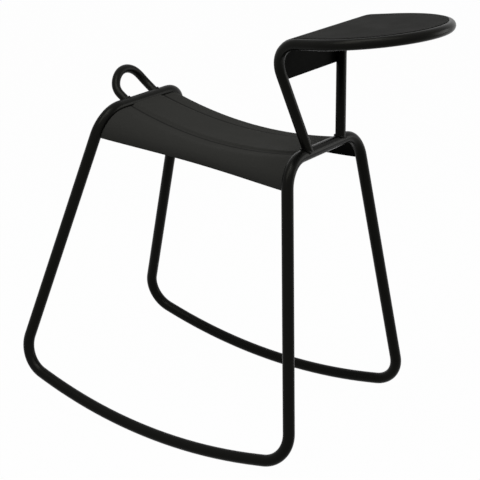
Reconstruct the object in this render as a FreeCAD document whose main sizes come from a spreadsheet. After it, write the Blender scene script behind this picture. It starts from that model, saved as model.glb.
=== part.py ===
import FreeCAD, Part
import math
import os

from FreeCAD import Placement, Rotation, Vector

# Rocking chair of bent steel tube with a pressed sheet seat, a tail loop behind
# and a small tray on a neck in front. Millimetres, +X forward towards the tray,
# +Y to the sitter's left, +Z up, floor at z = 0.

os.makedirs("parts", exist_ok=True)
doc = FreeCAD.newDocument("RockingChair")
sheet = doc.addObject("Spreadsheet::Sheet", "Sizes")

SIZES = [
    # name, value, what it is
    ("frame_tube_diameter", 25, "outside diameter of the arches and runners"),
    ("frame_tube_wall", 2, "wall of the arches and runners"),
    ("frame_bend_radius", 65, "centre line radius of every bend in the frame"),
    ("contact_x", -4.4, "floor contact line, ahead of the origin"),
    ("runner_radius", 1170, "centre line radius of the rocking arc"),
    ("runner_half_spacing", 250, "runner centre to the middle plane, at the floor"),
    ("runner_lean", 7.5, "degrees, top of the runner's plane leans inwards"),
    ("runner_toe", 0.5, "degrees, runners close in towards the front"),
    ("runner_front_angle", 9.4, "degrees of arc ahead of the contact"),
    ("runner_rear_angle", 19.1, "degrees of arc behind the contact"),
    ("runner_end_straight", 10, "least straight tube between the arc and its foot bend"),
    ("front_arch_ahead", 191, "front arch top, ahead of the contact"),
    ("front_arch_height", 645, "centre line height of the front arch top"),
    ("rear_arch_behind", 274, "rear arch top, behind the contact"),
    ("rear_arch_height", 686, "centre line height of the rear arch top"),
    ("arch_half_width", 143, "corner of an arch's centre line to the middle plane"),
    ("joint_above_foot", 130, "leg joint, along the leg from the foot corner"),
    ("sleeve_length", 60, "inner sleeve at each leg joint"),
    ("sleeve_wall", 2, "wall of the sleeve"),
    ("sleeve_clearance", 0.15, "radial gap from sleeve to tube"),
    ("seat_thickness", 2, "pressed sheet of the seat"),
    ("seat_sag", 30, "how far the middle of the seat dips"),
    ("seat_flat_half_waist", 96, "half width of the flat, at the waist"),
    ("seat_shoulder_radius_waist", 31, "shoulder radius at the waist"),
    ("seat_turn_waist", 86, "degrees the shoulder turns down, at the waist"),
    ("seat_skirt", 4, "straight skirt below the shoulder"),
    ("band_half_rear", 50, "half width of the raised band, at the rear arch"),
    ("band_half_front", 64, "half width of the raised band, at the front arch"),
    ("band_height", 4, "rise of the band over the seat"),
    ("band_riser_rear", 13, "width of the band's sloping side, at the rear"),
    ("band_riser_front", 7, "width of the band's sloping side, at the front"),
    ("tail_tube_diameter", 19, "outside diameter of the tail loop"),
    ("tail_tube_wall", 1.5, "wall of the tail loop"),
    ("tail_half_width", 52.5, "leg centre to the middle plane, also the top's radius"),
    ("tail_length", 81.5, "arch centre to the top of the loop, along its curve"),
    ("tail_start_angle", 36, "degrees up from level where the loop leaves the arch"),
    ("tail_end_angle", 67, "degrees up from level at the top of the loop"),
    ("tail_straight", 31, "length before the loop curls up"),
    ("tail_curl_radius", 50, "radius of the curl, seen from the side"),
    ("neck_tube_diameter", 22, "outside diameter of the neck and tray rim"),
    ("neck_tube_wall", 1.5, "wall of the neck and tray rim"),
    ("neck_foot_ahead", 4, "neck axis ahead of the arch axis, at its height"),
    ("neck_foot_above", 5, "start of the neck tube, above the arch axis"),
    ("neck_half_width", 64, "neck axis to the middle plane, at the arch"),
    ("neck_lean", 11.1, "degrees the neck leans back"),
    ("neck_spread", 18.2, "degrees each side of the neck spreads"),
    ("neck_corner_height", 881.5, "height where neck and tray lines meet"),
    ("neck_bend_radius", 68, "centre line radius from neck to tray"),
    ("tray_pitch", 6.4, "degrees the tray rises towards the front"),
    ("tray_radius", 163.6, "centre line radius of the round front"),
    ("tray_side_straight", 44, "least straight rim between neck bend and round front"),
    ("tray_thickness", 1.5, "sheet of the tray and apron"),
    ("tray_above_crown", 1, "tray surface above the crown of its rim"),
    ("tray_edge_inside", 2, "edge of the sheet inside the rim's centre line"),
    ("apron_straight", 16, "flat of the apron below the bend"),
    ("weld_leg", 3, "reach of a weld bead from the corner"),
    ("stitch_length", 16, "length of a stitch weld under a sheet"),
    ("stitch_band_offset", 25, "stitch under the band, to the middle plane"),
    ("stitch_flat_offset", 77, "stitch beside the band, to the middle plane"),
    ("tray_stitch_angle", 60, "degrees between stitches round the tray's front"),
]
for row, (name, value, note) in enumerate(SIZES, start=1):
    sheet.set("A%d" % row, name)
    sheet.set("B%d" % row, str(value))
    sheet.setAlias("B%d" % row, name)
    sheet.set("C%d" % row, note)
doc.recompute()
size = {name: float(sheet.get(name)) for name, value, note in SIZES}

frame_radius = size["frame_tube_diameter"] / 2
neck_radius = size["neck_tube_diameter"] / 2
across = Vector(0, 1, 0)
upward = Vector(0, 0, 1)


# Small helpers

def unit(vector):
    result = Vector(vector)
    result.normalize()
    return result


def mirrored(point):
    return Vector(point.x, -point.y, point.z)


def add_feature(name, shape):
    feature = doc.addObject("Part::Feature", name)
    feature.Shape = shape
    return feature


def add_boolean(kind, name, base, tool):
    result = doc.addObject("Part::" + kind, name)
    result.Base = base
    result.Tool = tool
    return result


def corner_bend(before, corner, after, radius):
    """Line, arc and line that turn a corner, as start, arc and end points."""
    back = unit(before - corner)
    ahead = unit(after - corner)
    half_angle = back.getAngle(ahead) / 2
    reach = radius / math.tan(half_angle)
    middle_line = unit(back + ahead)
    middle = corner + middle_line * (radius / math.sin(half_angle) - radius)
    return corner + back * reach, middle, corner + ahead * reach


def bent_line(points, radii):
    """Straight runs joined by tangent arcs, one radius for each inner point."""
    edges = []
    start = points[0]
    for index, radius in enumerate(radii, start=1):
        first, middle, last = corner_bend(points[index - 1], points[index], points[index + 1], radius)
        edges.append(Part.LineSegment(start, first).toShape())
        edges.append(Part.Arc(first, middle, last).toShape())
        start = last
    edges.append(Part.LineSegment(start, points[-1]).toShape())
    return edges


def swept_rod(name, path, radius_expression):
    """A round rod along a path, its radius bound to the size sheet."""
    edge = path.Shape.Edges[0]
    start = edge.valueAt(edge.FirstParameter)
    ahead = edge.tangentAt(edge.FirstParameter)
    circle = doc.addObject("Part::Circle", name + "_section")
    circle.setExpression("Radius", radius_expression)
    circle.Placement = Placement(start, Rotation(upward, ahead))
    rod = doc.addObject("Part::Sweep", name)
    rod.Sections = [circle]
    rod.Spine = (path, ["Edge%d" % number for number in range(1, len(path.Shape.Edges) + 1)])
    rod.Solid = True
    rod.Frenet = False
    return rod


def bent_tube(name, edges, tube):
    """A hollow tube along the edges. Gives the tube and its solid outside."""
    path = add_feature(name + "_path", Part.Wire(edges))
    outside = swept_rod(name + "_outside", path, "Sizes.%s_tube_diameter / 2" % tube)
    bore = swept_rod(name + "_bore", path, "Sizes.%s_tube_diameter / 2 - Sizes.%s_tube_wall" % (tube, tube))
    return add_boolean("Cut", name, outside, bore), outside


# Runner geometry: an arc in a plane that leans inwards and toes in

def runner_frame(side):
    """Contact point, forward direction and upward direction of one runner's plane."""
    toe = math.radians(size["runner_toe"])
    lean = math.radians(size["runner_lean"])
    contact = Vector(size["contact_x"], side * size["runner_half_spacing"], frame_radius)
    forward = Vector(math.cos(toe), -side * math.sin(toe), 0)
    outward = Vector(math.sin(toe), side * math.cos(toe), 0)
    up = upward * math.cos(lean) - outward * math.sin(lean)
    return contact, forward, up


def runner_point(side, angle):
    contact, forward, up = runner_frame(side)
    turn = math.radians(angle)
    return contact + (forward * math.sin(turn) + up * (1 - math.cos(turn))) * size["runner_radius"]


def runner_foot(side, angle):
    """Corner where the line of a leg meets the line of the runner's end."""
    contact, forward, up = runner_frame(side)
    turn = math.radians(angle)
    ahead = forward * math.cos(turn) + up * math.sin(turn)
    reach = size["frame_bend_radius"] + size["runner_end_straight"]
    return runner_point(side, angle) + ahead * math.copysign(reach, angle)


front_angle = size["runner_front_angle"]
rear_angle = -size["runner_rear_angle"]
arch_top = {
    "front": Vector(size["contact_x"] + size["front_arch_ahead"], 0, size["front_arch_height"]),
    "rear": Vector(size["contact_x"] - size["rear_arch_behind"], 0, size["rear_arch_height"]),
}
foot_angle = {"front": front_angle, "rear": rear_angle}


def arch_corner(end, side):
    return arch_top[end] + across * (side * size["arch_half_width"])


def leg_joint(end, side):
    """Middle of the joint between arch and runner, and the leg's upward direction."""
    foot = runner_foot(side, foot_angle[end])
    leg = unit(arch_corner(end, side) - foot)
    return foot + leg * size["joint_above_foot"], leg


# Arches: each an upside-down U with splayed legs

arches = {}
arch_outsides = {}
for end in ("front", "rear"):
    points = [leg_joint(end, 1)[0], arch_corner(end, 1), arch_corner(end, -1), leg_joint(end, -1)[0]]
    edges = bent_line(points, [size["frame_bend_radius"]] * 2)
    arches[end], arch_outsides[end] = bent_tube(end + "_arch", edges, "frame")

# Runners: the rocking arc with a foot bend and a leg stub at each end

runners = {}
for side, side_name in ((1, "left"), (-1, "right")):
    bend = [size["frame_bend_radius"]]
    arc_front = runner_point(side, front_angle)
    arc_rear = runner_point(side, rear_angle)
    front_edges = bent_line([leg_joint("front", side)[0], runner_foot(side, front_angle), arc_front], bend)
    rear_edges = bent_line([arc_rear, runner_foot(side, rear_angle), leg_joint("rear", side)[0]], bend)
    arc = Part.Arc(arc_front, runner_point(side, (front_angle + rear_angle) / 2), arc_rear).toShape()
    runners[side], _ = bent_tube(side_name + "_runner", front_edges + [arc] + rear_edges, "frame")

# Sleeves inside the four leg joints

sleeve_radius = "Sizes.frame_tube_diameter / 2 - Sizes.frame_tube_wall - Sizes.sleeve_clearance"
sleeves = []
for end in ("front", "rear"):
    for side, side_name in ((1, "left"), (-1, "right")):
        joint, leg = leg_joint(end, side)
        name = "%s_%s_joint_sleeve" % (end, side_name)
        start = joint - leg * (size["sleeve_length"] / 2)
        body = doc.addObject("Part::Cylinder", name + "_body")
        body.setExpression("Radius", sleeve_radius)
        body.setExpression("Height", "Sizes.sleeve_length")
        body.Placement = Placement(start, Rotation(upward, leg))
        bore = doc.addObject("Part::Cylinder", name + "_bore")
        bore.setExpression("Radius", sleeve_radius + " - Sizes.sleeve_wall")
        bore.setExpression("Height", "Sizes.sleeve_length")
        bore.Placement = body.Placement
        sleeves.append(add_boolean("Cut", name, body, bore))


# Seat: one pressed sheet, lofted through cross sections from arch to arch

def blend(rear, front, along):
    return rear + (front - rear) * along


def arch_lean(end):
    """Angle of an arch's plane from upright, its feet swung forward counted as plus."""
    foot = runner_foot(1, foot_angle[end])
    return math.atan2(foot.x - arch_top[end].x, arch_top[end].z - foot.z)


def arch_turn(end):
    """Angle that an arch turns through at each top bend."""
    return across.getAngle(runner_foot(1, foot_angle[end]) - arch_corner(end, 1))


def arch_flat(end):
    """Half width of an arch's straight top."""
    return size["arch_half_width"] - size["frame_bend_radius"] * math.tan(arch_turn(end) / 2)


def seat_outline(along, offset):
    """Half a section as lines and arcs, outwards, at an offset from the sheet's middle."""
    waist = 1 - (2 * along - 1) ** 2
    flat = blend(blend(arch_flat("rear"), arch_flat("front"), along), size["seat_flat_half_waist"], waist)
    radius = blend(size["frame_bend_radius"], size["seat_shoulder_radius_waist"], waist)
    arch_side = blend(arch_turn("rear"), arch_turn("front"), along)
    turn = blend(arch_side, math.radians(size["seat_turn_waist"]), waist)
    band = blend(size["band_half_rear"], size["band_half_front"], along)
    riser = blend(size["band_riser_rear"], size["band_riser_front"], along)
    rise = size["band_height"]
    slope = 2 * math.atan(rise / riser)
    ease = riser / (2 * math.sin(slope))

    def on_arc(centre_y, centre_v, arc_radius, angle):
        return (centre_y + arc_radius * math.sin(angle), centre_v + arc_radius * math.cos(angle))

    crest = (band - riser / 2, rise - ease)
    valley = (band + riser / 2, ease)
    shoulder = (flat, -radius)
    edge = on_arc(*shoulder, radius + offset, turn)
    skirt = (edge[0] + size["seat_skirt"] * math.cos(turn), edge[1] - size["seat_skirt"] * math.sin(turn))
    return [
        ("line", (crest[0], rise + offset)),
        ("arc", on_arc(*crest, ease + offset, slope / 2), on_arc(*crest, ease + offset, slope)),
        ("arc", on_arc(*valley, offset - ease, slope / 2), on_arc(*valley, offset - ease, 0)),
        ("line", (flat, offset)),
        ("arc", on_arc(*shoulder, radius + offset, turn / 2), edge),
        ("line", skirt),
    ]


def seat_centre(along):
    """Middle of the sheet, below the line between the arch tops by the sag."""
    straight = arch_top["rear"] + (arch_top["front"] - arch_top["rear"]) * along
    return straight - upward * (size["seat_sag"] * (1 - (2 * along - 1) ** 2))


def seat_section(along):
    """Closed thin outline of the sheet, in a plane that leans with the arches."""
    centre = seat_centre(along)
    lean = blend(arch_lean("rear"), arch_lean("front"), along)
    rise_line = Vector(-math.sin(lean), 0, math.cos(lean))

    def place(point, side):
        return centre + across * (side * point[0]) + rise_line * point[1]

    edges = []
    outline_ends = []
    for offset in (size["seat_thickness"] / 2, -size["seat_thickness"] / 2):
        half = seat_outline(along, offset)
        top = half[0][1]
        edges.append(Part.LineSegment(place(top, -1), place(top, 1)).toShape())
        for side in (1, -1):
            last = top
            for step in half[1:]:
                if step[0] == "line":
                    edges.append(Part.LineSegment(place(last, side), place(step[1], side)).toShape())
                else:
                    arc = Part.Arc(place(last, side), place(step[1], side), place(step[2], side))
                    edges.append(arc.toShape())
                last = step[-1]
            outline_ends.append(place(last, side))
    edges.append(Part.LineSegment(outline_ends[0], outline_ends[2]).toShape())
    edges.append(Part.LineSegment(outline_ends[1], outline_ends[3]).toShape())
    return Part.Wire(Part.__sortEdges__(edges))


SEAT_SECTIONS = 9
seat_sections = []
for number in range(SEAT_SECTIONS):
    seat_sections.append(add_feature("seat_section_%d" % number, seat_section(number / (SEAT_SECTIONS - 1))))
seat_blank = doc.addObject("Part::Loft", "seat_blank")
seat_blank.Sections = seat_sections
seat_blank.Solid = True
seat_blank.Ruled = False
seat_front_coped = add_boolean("Cut", "seat_front_coped", seat_blank, arch_outsides["front"])
seat = add_boolean("Cut", "seat_sheet", seat_front_coped, arch_outsides["rear"])


# Tail loop: a U that curls upwards, seen from the side

def tail_side(distance):
    """Rearward and upward position, and direction angle, at a length along the loop."""
    start = math.radians(size["tail_start_angle"])
    turn = math.radians(size["tail_end_angle"]) - start
    curl = size["tail_curl_radius"]
    straight = min(distance, size["tail_straight"])
    angle = start + min(max(distance - straight, 0) / curl, turn)
    rest = max(distance - straight - curl * turn, 0)
    back = straight * math.cos(start) + curl * (math.sin(angle) - math.sin(start)) + rest * math.cos(angle)
    up = straight * math.sin(start) - curl * (math.cos(angle) - math.cos(start)) + rest * math.sin(angle)
    return back, up, angle


def tail_point(distance, sideways, heading):
    """Centre line point and its direction. Heading 0 runs out along a leg, 90 across the top."""
    back, up, angle = tail_side(distance)
    point = arch_top["rear"] + Vector(-back, sideways, up)
    outward = Vector(-math.cos(angle), 0, math.sin(angle))
    turn = math.radians(heading)
    return point, outward * math.cos(turn) - across * math.sin(turn)


def two_arcs(start, start_way, end, end_way):
    """Two tangent arcs from one point and direction to another."""
    gap = end - start
    ways = start_way + end_way
    square = 2 * (1 - start_way.dot(end_way))
    if square < 1e-9:
        reach = gap.Length ** 2 / (4 * gap.dot(end_way))
    else:
        slant = gap.dot(ways)
        reach = (math.sqrt(slant ** 2 + square * gap.Length ** 2) - slant) / square
    first_corner = start + start_way * reach
    second_corner = end - end_way * reach
    meeting = (first_corner + second_corner) / 2
    edges = []
    for here, corner, there in ((start, first_corner, meeting), (meeting, second_corner, end)):
        chord_middle = (here + there) / 2
        height = (corner - chord_middle).Length
        if height < 1e-6:
            edges.append(Part.LineSegment(here, there).toShape())
            continue
        bend = math.atan2(height, (there - here).Length / 2)
        middle = chord_middle + (corner - chord_middle) * (math.tan(bend / 2) / math.tan(bend))
        edges.append(Part.Arc(here, middle, there).toShape())
    return edges


TAIL_STEPS = 6
tail_leg = size["tail_length"] - size["tail_half_width"]
tail_stations = [tail_point(0, size["tail_half_width"], 0)]
for number in range(TAIL_STEPS + 1):
    heading = 180 * number / TAIL_STEPS
    turn = math.radians(heading)
    distance = tail_leg + size["tail_half_width"] * math.sin(turn)
    tail_stations.append(tail_point(distance, size["tail_half_width"] * math.cos(turn), heading))
tail_stations.append(tail_point(0, -size["tail_half_width"], 180))
tail_edges = []
for (start, start_way), (end, end_way) in zip(tail_stations, tail_stations[1:]):
    tail_edges += two_arcs(start, start_way, end, end_way)
tail_blank, tail_outside = bent_tube("tail_blank", tail_edges, "tail")
tail_loop = add_boolean("Cut", "tail_loop", tail_blank, arch_outsides["rear"])

# Neck and tray rim: one tube from the front arch, round the tray and back

neck_base = arch_top["front"] + Vector(size["neck_foot_ahead"], size["neck_half_width"], 0)
neck_slope = Vector(-math.tan(math.radians(size["neck_lean"])), math.tan(math.radians(size["neck_spread"])), 1)
neck_foot = neck_base + neck_slope * size["neck_foot_above"]
neck_corner = neck_base + neck_slope * (size["neck_corner_height"] - neck_base.z)
pitch = math.radians(size["tray_pitch"])
tray_forward = Vector(math.cos(pitch), 0, math.sin(pitch))
tray_normal = Vector(-math.sin(pitch), 0, math.cos(pitch))
corner_line = Vector(neck_corner.x, 0, neck_corner.z)
side_length = size["neck_bend_radius"] + size["tray_side_straight"]
to_centre = math.hypot(side_length, size["tray_radius"])
centre_ahead = math.sqrt(to_centre ** 2 - neck_corner.y ** 2)
tray_centre = corner_line + tray_forward * centre_ahead
side_angle = math.atan2(centre_ahead, neck_corner.y) - math.atan2(side_length, size["tray_radius"])
side_way = tray_forward * math.cos(side_angle) + across * math.sin(side_angle)
side_end = neck_corner + side_way * side_length
tray_front = tray_centre + tray_forward * size["tray_radius"]

bend_start, bend_middle, bend_end = corner_bend(neck_foot, neck_corner, side_end, size["neck_bend_radius"])
neck_edges = [
    Part.LineSegment(neck_foot, bend_start).toShape(),
    Part.Arc(bend_start, bend_middle, bend_end).toShape(),
    Part.LineSegment(bend_end, side_end).toShape(),
    Part.Arc(side_end, tray_front, mirrored(side_end)).toShape(),
    Part.LineSegment(mirrored(side_end), mirrored(bend_end)).toShape(),
    Part.Arc(mirrored(bend_end), mirrored(bend_middle), mirrored(bend_start)).toShape(),
    Part.LineSegment(mirrored(bend_start), mirrored(neck_foot)).toShape(),
]
neck_blank, neck_outside = bent_tube("neck_blank", neck_edges, "neck")
neck_tube = add_boolean("Cut", "neck_and_rim_tube", neck_blank, arch_outsides["front"])

# Tray sheet: lies on the rim, which it is coped to, and wraps down over the bend as an apron

sheet_top = neck_radius + size["tray_above_crown"]
sheet_under = sheet_top - size["tray_thickness"]
edge_step = across * size["tray_edge_inside"]
sheet_radius = size["tray_radius"] - size["tray_edge_inside"]
sheet_corner = bend_end - edge_step
sheet_side_end = tray_centre + unit(side_end - tray_centre) * sheet_radius
sheet_front = tray_centre + tray_forward * sheet_radius
outline = [
    Part.LineSegment(mirrored(sheet_corner), sheet_corner).toShape(),
    Part.LineSegment(sheet_corner, sheet_side_end).toShape(),
    Part.Arc(sheet_side_end, sheet_front, mirrored(sheet_side_end)).toShape(),
    Part.LineSegment(mirrored(sheet_side_end), mirrored(sheet_corner)).toShape(),
]
tray_face = add_feature("tray_face", Part.Face(Part.Wire(outline)))
tray_face.Placement = Placement(tray_normal * sheet_under, Rotation())
tray_flat = doc.addObject("Part::Extrusion", "tray_flat")
tray_flat.Base = tray_face
tray_flat.Dir = tray_normal
tray_flat.setExpression("LengthFwd", "Sizes.tray_thickness")
tray_flat.Solid = True

apron_edge = bend_start + unit(neck_foot - bend_start) * size["apron_straight"]


def side_profile_point(along):
    """Centre line of the bend in side view, and the outward direction there."""
    arc = Part.Arc(bend_start, bend_middle, bend_end)
    parameter = arc.FirstParameter + (arc.LastParameter - arc.FirstParameter) * along
    point = arc.value(parameter)
    way = arc.tangent(parameter)[0]
    outward = unit(Vector(-way.z, 0, way.x))
    return point, outward


def apron_section(point, outward):
    """Thin rectangle from one side of the neck to the other."""
    low = point - edge_step + outward * sheet_under
    high = point - edge_step + outward * sheet_top
    return Part.makePolygon([mirrored(low), low, high, mirrored(high), mirrored(low)])


BEND_SECTIONS = 7
bend_sections = []
for number in range(BEND_SECTIONS):
    point, outward = side_profile_point(number / (BEND_SECTIONS - 1))
    bend_sections.append(add_feature("apron_bend_section_%d" % number, apron_section(point, outward)))
apron_bend = doc.addObject("Part::Loft", "apron_bend")
apron_bend.Sections = bend_sections
apron_bend.Solid = True
apron_bend.Ruled = False
apron_low = add_feature("apron_low_section", apron_section(apron_edge, side_profile_point(0)[1]))
apron_flat = doc.addObject("Part::Loft", "apron_flat")
apron_flat.Sections = [apron_low, bend_sections[0]]
apron_flat.Solid = True
apron_flat.Ruled = True
apron = add_boolean("Fuse", "apron", apron_flat, apron_bend)
tray_blank = add_boolean("Fuse", "tray_blank", apron, tray_flat)
tray_blank.Refine = True
tray = add_boolean("Cut", "tray_sheet", tray_blank, neck_outside)


# Welds: beads round the roots of neck and tail, stitches under seat and tray

def straight_rod(name, radius, length, start, way):
    rod = doc.addObject("Part::Cylinder", name)
    rod.setExpression("Radius", radius)
    rod.setExpression("Height", length)
    rod.Placement = Placement(start, Rotation(upward, way))
    return rod


def root_beads(name, tube, end, roots, tube_outside):
    """Rings in the corner where two legs of a thinner tube stand on an arch."""
    grown_leg = "Sizes.%s_tube_diameter / 2 + Sizes.weld_leg" % tube
    grown_top = "Sizes.frame_tube_diameter / 2 + Sizes.weld_leg"
    legs = []
    for number, (start, way) in enumerate(roots):
        leg_name = "%s_leg_%d" % (name, number)
        legs.append(straight_rod(leg_name, grown_leg, "Sizes.frame_tube_diameter * 2", start, way))
    pair = doc.addObject("Part::Compound", name + "_legs")
    pair.Links = legs
    top = straight_rod(name + "_top", grown_top, "Sizes.arch_half_width * 2", arch_corner(end, -1), across)
    corner = add_boolean("Common", name + "_corner", pair, top)
    ring = add_boolean("Cut", name + "_ring", corner, tube_outside)
    return add_boolean("Cut", name, ring, arch_outsides[end])


def stitches(name, places, first_tool, second_tool):
    """Short beads in the corner under a sheet, each cut to the pieces it joins."""
    beads = []
    for number, (middle, way) in enumerate(places):
        start = middle - way * (size["stitch_length"] / 2)
        bead_name = "%s_bead_%d" % (name, number)
        beads.append(straight_rod(bead_name, "Sizes.weld_leg", "Sizes.stitch_length", start, way))
    group = doc.addObject("Part::Compound", name + "_beads")
    group.Links = beads
    on_sheet = add_boolean("Cut", name + "_on_sheet", group, first_tool)
    return add_boolean("Cut", name, on_sheet, second_tool)


# Root beads

neck_way = unit(neck_slope)
neck_roots = [(neck_foot, neck_way), (mirrored(neck_foot), mirrored(neck_way))]
neck_welds = root_beads("neck_root_welds", "neck", "front", neck_roots, neck_outside)
tail_roots = [tail_stations[0], (tail_stations[-1][0], tail_stations[0][1])]
tail_welds = root_beads("tail_root_welds", "tail", "rear", tail_roots, tail_outside)


def seat_stitch_places(end):
    """Middles of the stitches under the seat's edge at one arch."""
    along, step = {"front": (1, -0.01), "rear": (0, 0.01)}[end]
    here = seat_centre(along)
    inwards = unit(seat_centre(along + step) - here)
    down = unit(inwards.cross(across))
    if down.z > 0:
        down = down * -1
    places = []
    for sideways, rise in ((size["stitch_band_offset"], size["band_height"]), (size["stitch_flat_offset"], 0)):
        under = size["seat_thickness"] / 2 - rise
        corner = here + inwards * math.sqrt(frame_radius ** 2 - under ** 2) + down * under
        middle = corner + down * (size["weld_leg"] - size["seat_thickness"] / 2)
        places.append((middle + across * sideways, across))
        places.append((middle - across * sideways, across))
    return places


front_seat_welds = stitches("front_seat_welds", seat_stitch_places("front"), seat, arch_outsides["front"])
rear_seat_welds = stitches("rear_seat_welds", seat_stitch_places("rear"), seat, arch_outsides["rear"])

bead_step = size["weld_leg"] * 2 / 3
bead_inside = math.sqrt(neck_radius ** 2 - sheet_under ** 2) + bead_step
under_drop = tray_normal * (sheet_under - bead_step)
tray_places = []
for number in (-1, 0, 1):
    turn = math.radians(number * size["tray_stitch_angle"])
    outward = tray_forward * math.cos(turn) + across * math.sin(turn)
    way = across * math.cos(turn) - tray_forward * math.sin(turn)
    tray_places.append((tray_centre + outward * (size["tray_radius"] - bead_inside) + under_drop, way))
side_middle = (bend_end + side_end) * 0.5
side_inward = side_way.cross(tray_normal)
if side_inward.y > 0:
    side_inward = side_inward * -1
side_place = side_middle + side_inward * bead_inside + under_drop
tray_places.append((side_place, side_way))
tray_places.append((mirrored(side_place), mirrored(side_way)))
tray_welds = stitches("tray_welds", tray_places, tray, neck_outside)

doc.recompute()

nodes = [arches["front"], arches["rear"], runners[1], runners[-1]] + sleeves
nodes += [seat, tail_loop, neck_tube, tray]
nodes += [neck_welds, tail_welds, front_seat_welds, rear_seat_welds, tray_welds]
for item in doc.Objects:
    if "Invalid" in item.State or "Error" in item.State:
        raise RuntimeError("%s did not build" % item.Name)
for node in nodes:
    if node.Shape.isNull() or not node.Shape.isValid():
        raise RuntimeError("%s has no valid shape" % node.Name)
    node.Label = node.Name
    node.Shape.exportStep("parts/%s.step" % node.Label)
    print(node.Label, len(node.Shape.Solids), round(node.Shape.Volume), node.Shape.BoundBox)
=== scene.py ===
import math

import bpy
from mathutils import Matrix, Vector

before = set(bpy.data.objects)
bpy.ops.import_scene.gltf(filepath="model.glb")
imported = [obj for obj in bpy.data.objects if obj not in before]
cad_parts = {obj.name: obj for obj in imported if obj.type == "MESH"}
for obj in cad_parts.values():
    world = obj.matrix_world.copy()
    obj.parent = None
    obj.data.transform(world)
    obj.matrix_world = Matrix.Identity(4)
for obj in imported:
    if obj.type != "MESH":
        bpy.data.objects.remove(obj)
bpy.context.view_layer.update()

scene = bpy.context.scene
print("frame loaded:", len(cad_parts), "nodes")


# Colours are sRGB hex values, turned to the linear values that Blender works in
def linearColour(hexValue):
    channels = []
    for start in (1, 3, 5):
        value = int(hexValue[start:start + 2], 16) / 255
        channels.append(value / 12.92 if value <= 0.04045 else ((value + 0.055) / 1.055) ** 2.4)
    return (*channels, 1.0)


# Adds one node, with its settings and the links into it
def addNode(tree, kind, settings=None, links=None):
    node = tree.nodes.new(kind)
    for name, value in (settings or {}).items():
        if isinstance(name, int) or name in node.inputs:
            node.inputs[name].default_value = value
        else:
            setattr(node, name, value)
    for name, source in (links or {}).items():
        tree.links.new(source, node.inputs[name])
    return node


# Adds a calculation, and gives its result
def addMath(tree, operation, settings, links):
    return addNode(tree, "ShaderNodeMath", {"operation": operation, **settings}, links).outputs[0]


def newMaterial(name):
    material = bpy.data.materials.new(name)
    material.use_nodes = True
    tree = material.node_tree
    tree.nodes.clear()
    return material, tree


# Powder coat: polyester powder sprayed on steel and baked. The film is a little cloudy
# in colour and gloss where it is thicker, and has a fine orange peel. The tubes are satin:
# black, with soft light along their tops.
tubeCoat = {
    "name": "satinPowderCoatOnTube",
    "colour": "#0f0f0e",
    "thickFilmColour": "#131312",
    "roughness": 0.26,
    "roughnessSpread": 0.03,
    "specular": 0.05,
    "cloudSize": 60.0,      # mm, slow change in film thickness
    "peelSize": 2.2,        # mm, the real peel is about 0.8 mm and wouldn't show
    "peelDepth": 0.015,     # mm
    "grainSize": 0.6,       # mm, fine tooth of the cured film
    "grainShare": 0.25,     # height of the grain beside the peel's
}

# The photograph's highlights are faintly yellow, so the coat's gloss is too
coatGlossColour = "#fffff0"

# The seat sheet has a matt fine-texture coat, so it scatters light and reads as charcoal.
# Its inner side, and a line on each side of the raised band, are painted darker. Both
# stand in for shade that the photograph shows there.
seatCoatAndPaintedShade = {
    "name": "mattTexturedPowderCoatAndPaintedShadeOnSeat",
    "colour": "#2e2e2c",
    "thickFilmColour": "#323230",
    # painted shade on the faces that look down or inwards
    "innerShadeColour": "#121211",
    "outwards": "sides",    # outer faces look up, or away from the middle plane
    # painted shade in a line on each side of the raised band
    "bandEdgeShadeColour": "#1a1a19",
    "lineRear": (-0.2784, 0.0600),      # metres, the line's x and y at the rear arch
    "lineFront": (0.1866, 0.0745),      # and at the front arch
    "lineWidth": 0.0045,                # from the line's middle to its edge
    "lineCore": 0.15,                   # share of that width in full colour
    "roughness": 0.72,
    "roughnessSpread": 0.06,
    "specular": 0.02,
    "cloudSize": 90.0,
    "peelSize": 2.6,        # mm, the real texture is about 0.5 mm and wouldn't show
    "peelDepth": 0.05,
    "grainSize": 0.8,
    "grainShare": 0.6,
}

# The tray sheet has the same coat, in a darker colour that is painted shade, matched to the tray's
# brightness. Its inner side has painted shade too
trayCoatAndPaintedShade = {
    "name": "mattTexturedPowderCoatAndPaintedShadeOnTray",
    # darker than the seat's colour, standing in for shade on the same coat
    "colour": "#1b1b1a",
    "thickFilmColour": "#1e1e1d",
    # painted shade on the faces that look down or inwards
    "innerShadeColour": "#121211",
    "outwards": "back",     # outer faces look up, or back towards the sitter
    "roughness": 0.72,
    "roughnessSpread": 0.06,
    "specular": 0.02,
    "cloudSize": 90.0,
    "peelSize": 2.6,
    "peelDepth": 0.04,
    "grainSize": 0.8,
    "grainShare": 0.6,
}

# The same satin film over a weld bead shows the bead's ripples through it
weldCoat = {
    "name": "satinPowderCoatOnWeld",
    "colour": "#0f0f0e",
    "thickFilmColour": "#131312",
    "roughness": 0.34,
    "roughnessSpread": 0.05,
    "specular": 0.05,
    "cloudSize": 12.0,
    "peelSize": 1.8,        # mm, spacing of the ripples
    "peelDepth": 0.15,
    "grainSize": 0.6,
    "grainShare": 0.1,
}

# How soft the painted shade's change is from the inner to the outer side of a sheet
innerShadeEdge = 0.1
# The clouds' values between which the gloss changes
cloudRange = (0.3, 0.7)
# Sockets of a colour mix: its two colours, and its result
mixFirst, mixSecond, mixResult = 6, 7, 2


# Paints a colour where the share is 0, over the colour that is there
def addPaint(tree, share, paintColour, colour):
    mix = addNode(tree, "ShaderNodeMix", {"data_type": "RGBA"}, {"Factor": share})
    mix.inputs[mixFirst].default_value = linearColour(paintColour)
    tree.links.new(colour, mix.inputs[mixSecond])
    return mix.outputs[mixResult]
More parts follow.
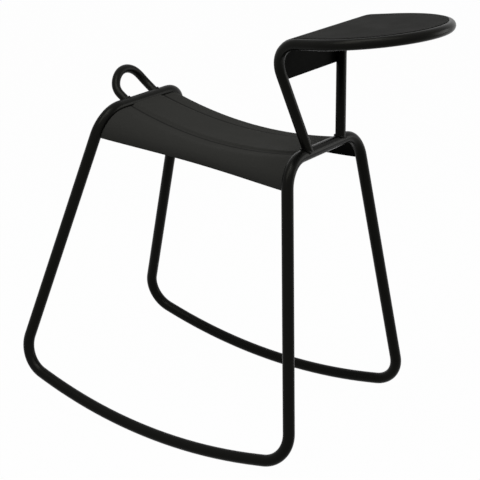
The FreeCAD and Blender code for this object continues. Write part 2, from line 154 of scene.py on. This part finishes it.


# Paints shade on the faces of a sheet that look inwards or down
def addPaintedInnerShade(tree, place, colour, settings):
    facing = addNode(tree, "ShaderNodeSeparateXYZ", {}, {"Vector": place.outputs["Normal"]})
    if settings["outwards"] == "sides":
        where = addNode(tree, "ShaderNodeSeparateXYZ", {}, {"Vector": place.outputs["Object"]})
        side = addMath(tree, "SIGN", {}, {0: where.outputs["Y"]})
        aside = addMath(tree, "MULTIPLY", {}, {0: facing.outputs["Y"], 1: side})
    else:
        aside = addMath(tree, "MULTIPLY", {1: -1.0}, {0: facing.outputs["X"]})
    outer = addMath(tree, "ADD", {}, {0: facing.outputs["Z"], 1: aside})
    share = addNode(tree, "ShaderNodeMapRange", {"From Min": -innerShadeEdge, "From Max": innerShadeEdge},
                    {"Value": outer})
    return addPaint(tree, share.outputs[0], settings["innerShadeColour"], colour)


# Paints a line of shade beside the raised band, which runs straight from arch to arch
def addPaintedBandEdgeShade(tree, place, colour, settings):
    (rearX, rearY), (frontX, frontY) = settings["lineRear"], settings["lineFront"]
    slope = (frontY - rearY) / (frontX - rearX)
    where = addNode(tree, "ShaderNodeSeparateXYZ", {}, {"Vector": place.outputs["Object"]})
    line = addMath(tree, "MULTIPLY_ADD", {1: slope, 2: rearY - slope * rearX},
                   {0: where.outputs["X"]})
    aside = addMath(tree, "ABSOLUTE", {}, {0: where.outputs["Y"]})
    away = addMath(tree, "SUBTRACT", {}, {0: aside, 1: line})
    distance = addMath(tree, "ABSOLUTE", {}, {0: away})
    share = addNode(tree, "ShaderNodeMapRange",
                    {"interpolation_type": "SMOOTHSTEP",
                     "From Min": settings["lineWidth"] * settings["lineCore"],
                     "From Max": settings["lineWidth"]},
                    {"Value": distance})
    return addPaint(tree, share.outputs[0], settings["bandEdgeShadeColour"], colour)


# Adds a noise whose grains have this size in mm
def addNoise(tree, place, grainSize, detail, roughness):
    return addNode(tree, "ShaderNodeTexNoise",
                   {"Scale": 1000 / grainSize, "Detail": detail, "Roughness": roughness},
                   {"Vector": place.outputs["Object"]}).outputs["Fac"]


def makePowderCoat(settings):
    material, tree = newMaterial(settings["name"])
    place = addNode(tree, "ShaderNodeTexCoord")
    clouds = addNoise(tree, place, settings["cloudSize"], 3.0, 0.55)
    peel = addNoise(tree, place, settings["peelSize"], 2.0, 0.5)
    grain = addNoise(tree, place, settings["grainSize"], 1.0, 0.6)
    tint = addNode(tree, "ShaderNodeMix", {"data_type": "RGBA"}, {"Factor": clouds})
    tint.inputs[mixFirst].default_value = linearColour(settings["colour"])
    tint.inputs[mixSecond].default_value = linearColour(settings["thickFilmColour"])
    colour = tint.outputs[mixResult]
    # painted shade: on the inner faces, and in a line on each side of the raised band
    if "innerShadeColour" in settings:
        colour = addPaintedInnerShade(tree, place, colour, settings)
    if "bandEdgeShadeColour" in settings:
        colour = addPaintedBandEdgeShade(tree, place, colour, settings)
    sheen = addNode(tree, "ShaderNodeMapRange",
                    {"From Min": cloudRange[0], "From Max": cloudRange[1],
                     "To Min": settings["roughness"] - settings["roughnessSpread"],
                     "To Max": settings["roughness"] + settings["roughnessSpread"]},
                    {"Value": clouds})
    tooth = addMath(tree, "MULTIPLY_ADD", {1: settings["grainShare"]}, {0: grain, 2: peel})
    bump = addNode(tree, "ShaderNodeBump",
                   {"Strength": 1.0, "Distance": settings["peelDepth"] / 1000},
                   {"Height": tooth})
    shader = addNode(tree, "ShaderNodeBsdfPrincipled",
                     {"Specular IOR Level": settings["specular"],
                      "Specular Tint": linearColour(coatGlossColour)},
                     {"Base Color": colour, "Roughness": sheen.outputs[0],
                      "Normal": bump.outputs[0]})
    addNode(tree, "ShaderNodeOutputMaterial", {}, {"Surface": shader.outputs[0]})
    return material


# Drawn steel: the bare inner sleeves, bright grey with fine lines along the tube
drawnSteel = {
    "name": "drawnSteelTube",
    "colour": "#9a9a98",
    "roughness": 0.38,
    "lineSpacing": 0.4,     # mm
    "lineStretch": 0.05,    # lines are this much of their spacing the other way
    "lineDepth": 0.02,      # mm
    "lineStrength": 0.4,
}


def makeDrawnSteel(settings):
    material, tree = newMaterial(settings["name"])
    place = addNode(tree, "ShaderNodeTexCoord")
    stretch = addNode(tree, "ShaderNodeMapping", {"Scale": (1.0, 1.0, settings["lineStretch"])},
                      {"Vector": place.outputs["Object"]})
    lines = addNode(tree, "ShaderNodeTexNoise",
                    {"Scale": 1000 / settings["lineSpacing"], "Detail": 2.0},
                    {"Vector": stretch.outputs[0]})
    bump = addNode(tree, "ShaderNodeBump",
                   {"Strength": settings["lineStrength"], "Distance": settings["lineDepth"] / 1000},
                   {"Height": lines.outputs["Fac"]})
    shader = addNode(tree, "ShaderNodeBsdfPrincipled",
                     {"Base Color": linearColour(settings["colour"]), "Metallic": 1.0,
                      "Roughness": settings["roughness"]},
                     {"Normal": bump.outputs[0]})
    addNode(tree, "ShaderNodeOutputMaterial", {}, {"Surface": shader.outputs[0]})
    return material


finishes = {
    makePowderCoat(tubeCoat): ["front_arch", "rear_arch", "left_runner", "right_runner",
                               "tail_loop", "neck_and_rim_tube"],
    makePowderCoat(seatCoatAndPaintedShade): ["seat_sheet"],
    makePowderCoat(trayCoatAndPaintedShade): ["tray_sheet"],
    makePowderCoat(weldCoat): ["neck_root_welds", "tail_root_welds", "front_seat_welds",
                               "rear_seat_welds", "tray_welds"],
    makeDrawnSteel(drawnSteel): ["front_left_joint_sleeve", "front_right_joint_sleeve",
                                 "rear_left_joint_sleeve", "rear_right_joint_sleeve"],
}
for finish, nodeNames in finishes.items():
    for nodeName in nodeNames:
        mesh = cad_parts[nodeName].data
        mesh.materials.clear()
        mesh.materials.append(finish)
print("finishes set")


# Studio: a pale floor that keeps a faint shadow, and a white surround.
# The camera, and rays off gloss or through glass, see both as plain white.
studio = {
    "floorSize": 12.0,      # metres
    "floorColour": "#bcbcbc",
    "shadowShare": 0.015,   # how much of the lit floor is mixed into plain white
    "surround": 0.03,       # strength of the room's even light
}
plainWhite = {"Color": (1, 1, 1, 1), "Strength": 1.0}


# 1 for rays that see the plain white background
def addWhiteRays(tree):
    rays = addNode(tree, "ShaderNodeLightPath").outputs
    seen = addMath(tree, "MAXIMUM", {}, {0: rays["Is Camera Ray"], 1: rays["Is Glossy Ray"]})
    return addMath(tree, "MAXIMUM", {}, {0: seen, 1: rays["Is Transmission Ray"]})


bpy.ops.mesh.primitive_plane_add(size=studio["floorSize"], location=(0, 0, 0))
floor = bpy.context.object
floor.name = "studioFloor"
floorPaint, floorTree = newMaterial("mattPaleFloorPaint")
floorLit = addNode(floorTree, "ShaderNodeBsdfDiffuse",
                   {"Color": linearColour(studio["floorColour"])})
floorWhite = addNode(floorTree, "ShaderNodeEmission", plainWhite)
floorShare = addMath(floorTree, "MULTIPLY", {1: 1 - studio["shadowShare"]},
                     {0: addWhiteRays(floorTree)})
floorMix = addNode(floorTree, "ShaderNodeMixShader", {},
                   {0: floorShare, 1: floorLit.outputs[0], 2: floorWhite.outputs[0]})
addNode(floorTree, "ShaderNodeOutputMaterial", {}, {"Surface": floorMix.outputs[0]})
floor.data.materials.append(floorPaint)

world = bpy.data.worlds.new("studioRoom")
scene.world = world
world.use_nodes = True
room = world.node_tree
room.nodes.clear()
roomLight = addNode(room, "ShaderNodeBackground",
                    {"Color": (1, 1, 1, 1), "Strength": studio["surround"]})
roomWhite = addNode(room, "ShaderNodeBackground", plainWhite)
roomMix = addNode(room, "ShaderNodeMixShader", {},
                  {0: addWhiteRays(room), 1: roomLight.outputs[0], 2: roomWhite.outputs[0]})
addNode(room, "ShaderNodeOutputWorld", {}, {"Surface": roomMix.outputs[0]})

# Lamps: azimuth in degrees from the near side, round towards the tray. Power in watts.
lamps = {
    "topLamp": {"azimuth": 20, "elevation": 75, "power": 40.0},
    "nearLamp": {"azimuth": 0, "elevation": 50, "power": 26.0},
    "trayLamp": {"azimuth": 60, "elevation": 55, "power": 16.0},
    "rimLamp": {"azimuth": 135, "elevation": 8, "power": 18.0},
}
lampRange = {"aim": (0.0, 0.0, 0.5), "distance": 3.0, "size": 1.4}      # metres
for lampName, settings in lamps.items():
    light = bpy.data.lights.new(lampName, "AREA")
    light.shape = "SQUARE"
    light.size = lampRange["size"]
    light.energy = settings["power"]
    lamp = bpy.data.objects.new(lampName, light)
    scene.collection.objects.link(lamp)
    azimuth = math.radians(settings["azimuth"])
    elevation = math.radians(settings["elevation"])
    way = Vector((math.sin(azimuth) * math.cos(elevation),
                  -math.cos(azimuth) * math.cos(elevation),
                  math.sin(elevation)))
    lamp.location = Vector(lampRange["aim"]) + way * lampRange["distance"]
    lamp.rotation_euler = (-way).to_track_quat("-Z", "Y").to_euler()
print("studio set")


# Camera: the photograph's view, in metres from the chair's own origin
camera = {
    "at": (1.6505, -2.5367, 1.4567),
    "lookingAt": (-0.02048, 0.0, 0.401),
    "lens": 109.52,         # mm
    "sensor": 36.0,         # mm
}
view = bpy.data.cameras.new("photoCamera")
view.lens = camera["lens"]
view.sensor_width = camera["sensor"]
viewpoint = bpy.data.objects.new("photoCamera", view)
scene.collection.objects.link(viewpoint)
viewpoint.location = camera["at"]
sight = Vector(camera["lookingAt"]) - Vector(camera["at"])
viewpoint.rotation_euler = sight.to_track_quat("-Z", "Y").to_euler()
scene.camera = viewpoint
scene.view_settings.view_transform = "Standard"

print("camera set")
